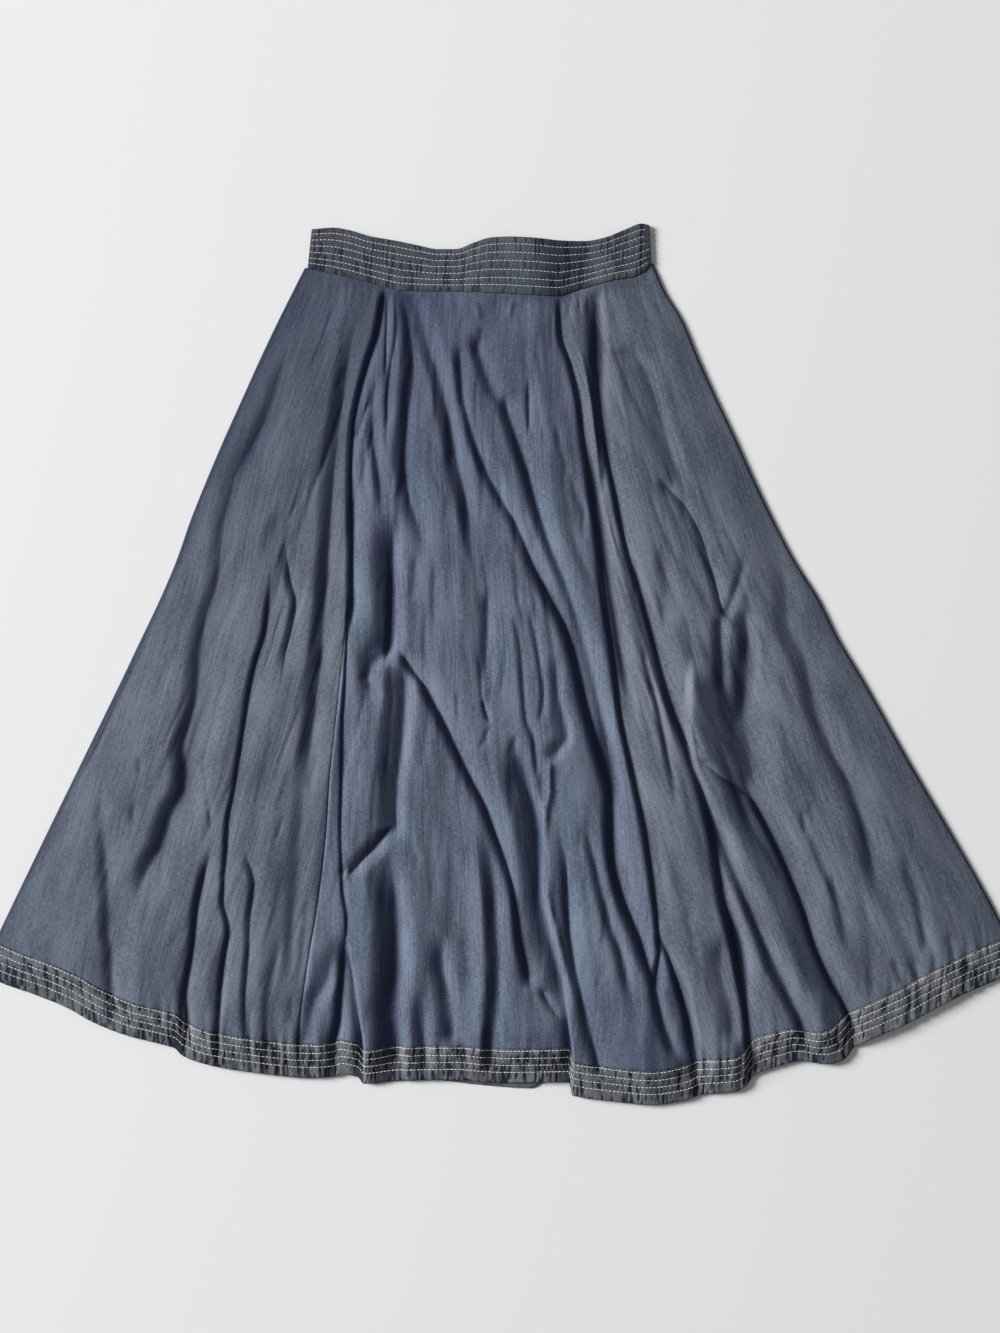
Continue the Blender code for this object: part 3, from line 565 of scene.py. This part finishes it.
# How much more painted shade falls in deep folds, below the waist, along the left side and above
# the hem
FOLD_PAINTED_SHADE, WAIST_PAINTED_SHADE, SIDE_PAINTED_SHADE, HEM_PAINTED_SHADE = 0.50, 0.46, 0.26, 0.10
HEM_CLIFFS = (338, 361, 570.5, 696, 746, 849)  # places across of the steep folds at the hem
CROWD_CREASE, CROWD_CLIFF = 1.8, 3.0  # how much closer the mesh is at creases and cliffs
CRINKLES = [
    # amount, size across, size along, seed: loose wrinkles along the gores, in millimetres
    (1.65, 34, 190, 11), (0.80, 17, 150, 12), (0.34, 9, 110, 13), (0.18, 5, 60, 14)]
SMALL_CREASES, SMALL_SEED = 320, 17  # short sharp creases scattered over the gores
chance = np.random.default_rng(SMALL_SEED)
for _ in range(SMALL_CREASES):
    start, length = chance.uniform(300, 1010), chance.uniform(25, 130)
    fan, drift = chance.uniform(0.03, 0.97), chance.uniform(-0.02, 0.02)
    path = []
    for step in range(4):
        down = start + length * step / 3
        near, far = left_side(down), right_side(down)
        path.append((near + (far - near) * (fan + drift * step / 3) + chance.uniform(-2, 2), down))
    CREASES.append((chance.uniform(0.2, 0.9), chance.uniform(3, 8), chance.uniform(4, 14),
                    chance.uniform(0.4, 1.0), length * 0.35, length * 0.35, path))
crease_lines = [smooth_line([(down, across) for across, down in row[6]]) for row in CREASES]
waist_lift, hem_seam = smooth_line(WAIST_LIFT), smooth_line(HEM_SEAM_FRONT)
hem_level, seam_left = smooth_line(HEM_LEVEL), smooth_line(SEAM_LEFT)


def crease_depth(across, down):
    """Sum of all the creases at each place, in millimetres below the loose cloth."""
    total = np.zeros(np.shape(across))
    for (depth, left, right, sharp, start, end, path), line in zip(CREASES, crease_lines):
        first, last = path[0][1], path[-1][1]
        here = (down > first) & (down < last)
        x, y = across[here], down[here]
        lean = (line(y + 2) - line(y - 2)) / 4
        away = (x - line(y)) / np.sqrt(1 + lean ** 2)
        near = np.clip(1 - np.where(away < 0, -away / left, away / right), 0, 1)
        shape = near ** 2 * (sharp + (1 - sharp) * (3 - 2 * near))
        total[here] += depth * shape * ease((y - first) / start) * ease((last - y) / end)
    return total


def loose_wrinkles(across, down):
    """Height of the small wrinkles that run along the gores, in millimetres."""
    fan = (across - left_side(down)) / (right_side(down) - left_side(down))
    low = ease((down - 300) / 700)
    total = 0
    for amount, size, length, seed in CRINKLES:
        sway = 0.35 * size * crinkle(across, down, 60, 90, seed + 40)
        total = total + amount * ((1 - low) * crinkle(fan * 430 + sway, down, size, length, seed)
                                  + low * crinkle(fan * 960 + sway, down, size, length, seed + 20))
    return total


def front_height(across, down):
    """Height of the front's upper face off the surface, in millimetres."""
    from_waist = down - waist_seam(across)
    full = np.interp(down, *np.transpose(FULLNESS))
    rise = full + loose_wrinkles(across, down) - crease_depth(across, down)
    pinch = np.maximum(crinkle(across, down, 4, 60, seed=61) + 0.2, 0)
    from_hem = np.maximum(hem_seam(across) - down, 0)
    waist_gather = (np.exp(-np.maximum(from_waist, 0) / GATHER_WAIST)
                    * (0.5 + crinkle(across, down, 40, 90, seed=63)))
    hem_gather = np.exp(-from_hem / GATHER_HEM) * (0.4 + crinkle(across, down, 60, 90, seed=62))
    rise = rise - GATHER * pinch * (waist_gather + hem_gather)
    from_left, from_right = across - left_side(down), right_side(down) - across
    rise = rise * (1 - np.exp(-np.maximum(from_left, 0) / FALL_LEFT))
    rise = rise * (1 - np.exp(-np.maximum(from_right, 0) / FALL_RIGHT))
    rise = np.logaddexp(0, rise / SOFT_FOOT) * SOFT_FOOT
    joined = ease(from_waist / WAIST_HELD)
    rise = waist_lift(across) * (1 - joined) + rise * joined
    fold_over = np.clip(1 - from_side(across, down) / TURN_UNDER, 0, 1) ** 2
    stitched = np.exp(-((across - seam_left(down)) / SEAM_LINE) ** 2) * ease((down - 600) / 60)
    return FRONT_LOW + rise - TURN_DROP * fold_over - SEAM_DEPTH * stitched


def painted_shade_at(across, down):
    """Painted shade from 0 to 1: where the cloth slopes down to the right and to the hem, away from
    the light, in deep folds, below the waist, along the left side, above the hem and at the side
    edges.
    """
    total = 0
    for reach in TURN_REACHES:
        right = front_height(across - reach, down) - front_height(across + reach, down)
        low = front_height(across, down - reach) - front_height(across, down + reach)
        total = total + 0.5 * (SHADE_RIGHT * right + SHADE_DOWN * low) / (2 * reach)
    in_fold = ease((crease_depth(across, down) - DEEP_FROM) / DEEP_OVER)
    near_waist = ease((660 - down) / 360) * (1 - 0.5 * ease((across - 400) / 150)
                                             - 0.5 * ease((across - 600) / 50))
    near_hem = ease((down - 930) / 100) * ease((across - 330) / 40)
    near_side = np.exp(-np.maximum(across - left_side(down), 0) / SIDE_REACH)
    near_right = np.exp(-(np.maximum(right_side(down) - across, 0) / RIGHT_REACH) ** 2)
    total = total * (1 - RIGHT_LESS_SHADE * near_right)
    kept = (1 - FOLD_PAINTED_SHADE * in_fold) * (1 - WAIST_PAINTED_SHADE * near_waist) * (1 - SIDE_PAINTED_SHADE * near_side)
    kept = kept * (1 - HEM_PAINTED_SHADE * near_hem)
    kept = kept * (1 - np.exp(-(np.maximum(from_side(across, down), 0) / EDGE_LINE) ** 2))
    return 1 - np.exp(-np.maximum(total + 0.02, 0) / SHADE_FULL_SLOPE) * kept


def crowd(share, across, down, count):
    """Shares of a gore's width for each row of its mesh, closer together at sharp creases."""
    close = np.full(across.shape, 1.0)
    for row, line in zip(CREASES, crease_lines):
        if row[3] >= 0.9 and row[0] > 2:
            path = row[6]
            there = ease((down - path[0][1]) / 40 + 1) * ease((path[-1][1] - down) / 40 + 1)
            close += CROWD_CREASE * there * np.exp(-((across - line(down)) / 6) ** 2)
    for cliff in HEM_CLIFFS:
        there = ease((down - 960) / 60)
        close += CROWD_CLIFF * there * np.exp(-((across - cliff) / 5) ** 2)
    close += CROWD_CLIFF * np.exp(-(from_side(across, down) / 5) ** 2)
    total = np.cumsum((close[:, 1:] + close[:, :-1]) / 2, axis=1)
    total = np.concatenate([np.zeros((len(close), 1)), total], axis=1) / total[:, -1:]
    even = np.linspace(0, 1, count)
    return np.stack([np.interp(even, line, share) for line in total])


DYE_MARKS = [
    # across, down, radius, colour: faint marks low on the left gore
    (263, 957, 10, (0.08, 0.20, 0.16)), (263, 968, 8, (0.15, 0.08, 0.24)),
    (260, 988, 10, (0.08, 0.20, 0.15)), (224, 996, 10, (0.07, 0.18, 0.15)),
    (221, 1012, 9, (0.20, 0.08, 0.18)), (221, 1024, 9, (0.07, 0.18, 0.14))]
front_lines = ((left_side, 268.5, 942), (seam_left, 286.5, 1042),
               (smooth_line(SEAM_RIGHT), 295.8, 1061), (right_side, 264, 937.5))
FRONT_ROWS = 250
FRONT_CUTS = [
    # node                columns width  length area, in metres, and the grey of its yarn
    ("front_left_panel",   150,   0.34,  0.80,  0.160, (0.165, 0.193, 0.235)),
    ("front_centre_panel", 188,   0.40,  0.79,  0.215, (0.172, 0.206, 0.272)),
    ("front_right_panel",  178,   0.34,  0.82,  0.165, (0.177, 0.203, 0.246)),
]
for (name, columns, width, length, area, grey), left, right in zip(FRONT_CUTS, front_lines,
                                                                   front_lines[1:]):
    marks = DYE_MARKS if name == "front_left_panel" else ()
    gore_denim = denim(name + "_denim", grey=grey, stains=marks)
    t = np.linspace(0, 1, FRONT_ROWS)[:, None]
    fine = np.linspace(0, 1, 900)
    share, t_fine = np.broadcast_arrays(fine[None, :], t)
    across, down = gore_map(left, right, hem_seam, share, t_fine, hem_level)
    share = crowd(fine, across, down, columns)
    across, down = gore_map(left, right, hem_seam, share, t, hem_level)
    # each point of the front carries its painted shade
    gore = laid_cloth(name + "_cloth", in_frame(across, down, front_height(across, down)),
                      painted_shade_at(across, down))
    dress(gore, gore_denim, name)

# Front hem strip
# A strip of denim sewn along the hem with four rows of light thread. The rows draw it up into
# small puckers, and the cloth stands up between them.
HEM_PROUD = 0.6
HEM_ROWS = (1.0, 8.5, 16.0, 23.5)  # rows of thread, in millimetres below the seam
HEM_RIB, HEM_PINCH = 0.5, 0.9  # rise between the rows, and depth of a pucker
HEM_RIB_REACH = 2.6  # how far from a row the cloth is at its full rise
HEM_JOIN = 27  # place across of the join in the strip
HEM_COLUMNS = 1300
HEM_DROOP = 0.80  # share of its height that the strip loses by its edge
DROOP_LESS, DROOP_FROM, DROOP_OVER = 0.35, 790, 80  # and how much less towards its right end
# How much less painted shade the strip takes than the gores, each row (across, share)
HEM_LESS_SHADE = [(0, -0.1), (300, 0.1), (780, 0.1), (900, 0.3)]


def rib_height(width, rows, spread):
    """Rise of the cloth between rows of stitching, from 0 at a row to 1 midway."""
    nearest = np.min([np.abs(width - row) for row in rows], axis=0)
    return ease(nearest / spread)


def hem_puckers(across, width):
    """Depth of the short pinches that the rows of thread draw up across the strip, 0 to 1."""
    pinch = (1.2 * crinkle(across, width, 1.9, 9, seed=31)
             + 0.5 * crinkle(across, width, 5, 40, seed=32)
             + 0.3 * crinkle(across, width, 60, 200, seed=33))
    join = np.exp(-((across - HEM_JOIN) / 1.2) ** 2)
    return np.maximum(ease((pinch - 0.05) / 0.7), join)


def hem_height(across, down, width):
    rib = rib_height(width, HEM_ROWS, HEM_RIB_REACH)
    edge = ease((HEM_WIDTH - width) / 1.5) - 1
    droop = HEM_DROOP * (1 - DROOP_LESS * ease((across - DROOP_FROM) / DROOP_OVER))
    left_up = 1 - droop * ease(width / HEM_WIDTH)
    return (FRONT_LOW + (front_height(across, down) - FRONT_LOW) * left_up + HEM_PROUD
            + HEM_RIB * rib - HEM_PINCH * hem_puckers(across, width) + 0.5 * edge)


fine = np.linspace(HEM_LEFT, HEM_RIGHT, 6000)
share = crowd(fine, fine[None, :], np.full((1, len(fine)), 1040.0), HEM_COLUMNS)
across_seam, width = np.meshgrid(share[0], np.linspace(-1.0, HEM_WIDTH, 27))
across, down = hem_strip_map(hem_seam, across_seam, width)
# painted shade on the front strip: from the gores' slopes, deeper in its puckers, less to the right
hem_strip_painted_shade = (painted_shade_at(across, down) + 0.85 * hem_puckers(across, width)
              - np.interp(across, *np.transpose(HEM_LESS_SHADE)))
front_hem = laid_cloth("hem_band_front_cloth",
                       in_frame(across, down, hem_height(across, down, width)),
                       np.clip(hem_strip_painted_shade, 0, 1))
dress(front_hem, hem_band_denim, "hem_band_front")

# Front of the waistband
# A wide band with six rows of light thread, joined to the back at a seam near its right end.
# It bows up over the middle of the skirt and sinks beside it.
WAIST_ROWS = (0.13, 0.28, 0.43, 0.59, 0.74, 0.87)  # rows of thread, as shares of the width
WAIST_RIB, WAIST_PINCH = 0.5, 0.45  # rise between the rows, and depth of a pucker
WAIST_RIB_REACH = 0.055  # how far from a row it is at its full rise, a share
WAIST_JOIN = 641.5  # place across of the join with the back
BAND_PROUD = 0.7  # how far the band stands above the gores
# Painted shade along the band, strongest where it dips away from the light, each row (across,
# share)
PAINTED_SHADE_ON_BAND = [(308, 0.52), (345, 0.42), (400, 0.30), (440, 0.30), (470, 0.22), (500, 0.10),
              (535, 0.22), (552, 0.80), (584, 0.80), (604, 0.12), (636, 0.16), (641, 0.50),
              (651, 0.50)]
WAIST_YARNS = (0.020, 0.025, 0.034), (0.125, 0.138, 0.156)  # navy and grey
waistband_denim = denim("waistband_denim", *WAIST_YARNS, BAND_PAINTED_SHADE)
band_shade_line = smooth_line(PAINTED_SHADE_ON_BAND)


def waist_puckers(across, share):
    """Depth of the short pinches across the waistband, 0 to 1."""
    pinch = (crinkle(across, share, 1.9, 0.25, seed=51)
             + 0.6 * crinkle(across, share, 7, 0.9, seed=52))
    return ease((pinch - 0.05) / 0.8)


def waistband_height(across, share):
    rib = rib_height(share, WAIST_ROWS, WAIST_RIB_REACH)
    edge = ease((1 - share) / 0.04) + ease(share / 0.04) - 2
    join = np.exp(-((across - WAIST_JOIN) / 1.0) ** 2)
    return (FRONT_LOW + BAND_PROUD + waist_lift(across) + WAIST_RIB * rib
            - WAIST_PINCH * waist_puckers(across, share) - 0.6 * join + 0.5 * edge)


share, width = np.meshgrid(np.linspace(0, 1, 420), np.linspace(0, 1.02, 44))
across, down = waistband_map(share, width)
width = np.minimum(width, 1)
# painted shade on the band, deeper in its puckers, with a dark line at the join with the back
waistband_painted_shade = (band_shade_line(across) + 0.60 * waist_puckers(across, width)
                + 0.6 * np.exp(-((across - WAIST_JOIN) / 1.2) ** 2) - 0.1)
front_waist = laid_cloth("waistband_front_cloth",
                         in_frame(across, down, waistband_height(across, width)),
                         np.clip(waistband_painted_shade, 0, 1))
dress(front_waist, waistband_denim, "waistband_front")

# Stitching
# Off-white cotton thread in long straight stitches, four rows round the hem strip and six round
# the waistband. Each stitch is a short rod with rounded ends that sinks into the cloth.
STITCH, STITCH_GAP, THREAD = 3.6, 0.35, 0.46  # length, gap and radius, in millimetres
STITCH_PROUD = 0.15  # height of its middle above the cloth
UNEVEN_PITCH, UNEVEN_LEAN = 0.25, 0.05  # how far a stitch is out of its place and line
THREAD_COLOUR = (0.80, 0.82, 0.82)


def thread_material():
    material, nodes, links, shader = new_material("sewing_thread", 0.6)
    noise = nodes.new("ShaderNodeTexNoise")
    noise.inputs["Scale"].default_value = 400
    place = nodes.new("ShaderNodeTexCoord")
    links.new(place.outputs["Object"], noise.inputs["Vector"])
    ramp = nodes.new("ShaderNodeValToRGB")
    ramp.color_ramp.elements[0].color = (*[0.72 * c for c in THREAD_COLOUR], 1)
    ramp.color_ramp.elements[1].color = (*THREAD_COLOUR, 1)
    links.new(noise.outputs["Fac"], ramp.inputs["Fac"])
    links.new(ramp.outputs["Color"], shader.inputs["Base Color"])
    return material


def one_stitch():
    """One stitch along X, modelled as a rod with drawn-in ends, as points and faces."""
    bpy.ops.object.select_all(action="DESELECT")
    bpy.ops.mesh.primitive_cylinder_add(vertices=5, radius=THREAD * MM, depth=STITCH * MM,
                                        rotation=(0, np.pi / 2, 0))
    rod = bpy.context.object
    bpy.ops.object.transform_apply(location=True, rotation=True, scale=True)
    bpy.ops.object.mode_set(mode="EDIT")
    bpy.ops.mesh.select_all(action="SELECT")
    bpy.ops.mesh.bevel(offset=0.3 * MM, segments=1)
    bpy.ops.object.mode_set(mode="OBJECT")
    points = np.array([v.co[:] for v in rod.data.vertices])
    faces = [tuple(p.vertices) for p in rod.data.polygons]
    bpy.data.objects.remove(rod, do_unlink=True)
    return points, faces


stitch_points, stitch_faces = one_stitch()
thread = thread_material()


def put_in_scene(name, data):
    made = bpy.data.objects.new(name, data)
    bpy.context.scene.collection.objects.link(made)
    return made


def stitched_rows(name, rows, seed, stout=1.0):
    """Stitches end to end along each row of points, joined in one mesh."""
    stitch = stitch_points * (1, stout, stout)
    draw = np.random.default_rng(seed)
    points, faces = [], []
    for row, up in rows:
        step = np.linalg.norm(np.diff(row, axis=0), axis=1)
        along = np.concatenate([[0], np.cumsum(step)])
        pitch = (STITCH + STITCH_GAP) * MM
        start = np.arange(0.5 * pitch, along[-1] - 0.5 * pitch, pitch)
        start = start + draw.uniform(-UNEVEN_PITCH, UNEVEN_PITCH, len(start)) * MM
        half = STITCH * MM / 2
        ends = [np.stack([np.interp(start + shift, along, axis) for axis in row.T], axis=1)
                for shift in (-half, half)]
        normal = np.stack([np.interp(start, along, axis) for axis in up.T], axis=1)
        ahead = ends[1] - ends[0]
        ahead /= np.linalg.norm(ahead, axis=1, keepdims=True)
        side = np.cross(normal, ahead)
        side /= np.linalg.norm(side, axis=1, keepdims=True)
        ahead = ahead + side * draw.normal(0, UNEVEN_LEAN, (len(start), 1))
        normal = np.cross(ahead, side)
        middle = (ends[0] + ends[1]) / 2 + normal * STITCH_PROUD * MM
        placed = (middle[:, None] + stitch[None, :, :1] * ahead[:, None]
                  + stitch[None, :, 1:2] * side[:, None] + stitch[None, :, 2:] * normal[:, None])
        for one in placed:
            faces += [tuple(k + len(points) for k in face) for face in stitch_faces]
            points += one.tolist()
    mesh = bpy.data.meshes.new(name)
    mesh.from_pydata(points, [], faces)
    mesh.shade_smooth()
    mesh.materials.append(thread)
    sewn = put_in_scene(name, mesh)
    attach(sewn, "root")


def up_from(row, beside):
    """Upward normals along a row of points, from a second row just below it."""
    up = np.cross(beside - row, np.gradient(row, axis=0))
    up /= np.linalg.norm(up, axis=1, keepdims=True)
    return np.where(up[:, 2:] < 0, -up, up)


def hem_row(width):
    seam = np.linspace(HEM_LEFT + 1, HEM_RIGHT - 1, 2400)
    across, down = hem_strip_map(hem_seam, seam, width)
    return in_frame(across, down, hem_height(across, down, width))


def waist_row(share):
    along = np.linspace(0.004, 0.996, 700)
    across, down = waistband_map(along, share)
    return in_frame(across, down, waistband_height(across, share))


def with_normals(row_at, places, beside):
    """The row of points at each place, with its upward normals."""
    rows = []
    for place in places:
        row = row_at(place)
        rows.append((row, up_from(row, row_at(place + beside))))
    return rows


stitched_rows("hem_stitching_front", with_normals(hem_row, HEM_ROWS, 0.5), 71)
stitched_rows("waist_stitching_front", with_normals(waist_row, WAIST_ROWS, 0.01),
              72, 0.75)

# Surface, light and camera
# The skirt lies on a plain white surface in soft daylight from the upper left, and the camera
# looks straight down on it.
bpy.ops.object.select_all(action="DESELECT")
bpy.ops.mesh.primitive_plane_add(size=12, location=(0, 0, -0.0003))
floor = bpy.context.object
floor.name = "floor"
white, _, _, white_shader = new_material("white_surface", 0.9, 0.1)
white_shader.inputs["Base Color"].default_value = (0.80, 0.80, 0.795, 1)
floor.data.materials.append(white)

sky = bpy.data.worlds.new("room")
sky.use_nodes = True
sky_light = sky.node_tree.nodes["Background"]
sky_light.inputs["Color"].default_value = (0.97, 0.985, 1.0, 1)
sky_light.inputs["Strength"].default_value = 0.22
bpy.context.scene.world = sky

window = bpy.data.lights.new("window", "AREA")
window.shape, window.size, window.energy = "DISK", 5.0, 2900
window_lamp = put_in_scene("window", window)
window_lamp.location = (-11.0, 3.2, 5.4)
window_lamp.rotation_euler = (-Vector(window_lamp.location)).to_track_quat("-Z", "Y").to_euler()

FRAME_TALL = 1.333  # height of the picture on the surface, in metres
MIDDLE_ACROSS, MIDDLE_DOWN = 500, 666.5  # the picture's middle, as a laid position
LENS, SENSOR = 50, 36
camera = bpy.data.cameras.new("camera")
camera.lens, camera.sensor_width, camera.sensor_fit = LENS, SENSOR, "AUTO"
camera.clip_end = 50
camera_object = put_in_scene("camera", camera)
camera_object.location = ((MIDDLE_ACROSS - DATUM_ACROSS) * MM, (DATUM_DOWN - MIDDLE_DOWN) * MM,
                          FRAME_TALL * LENS / SENSOR)
bpy.context.scene.camera = camera_object
bpy.context.scene.view_settings.view_transform = "Standard"
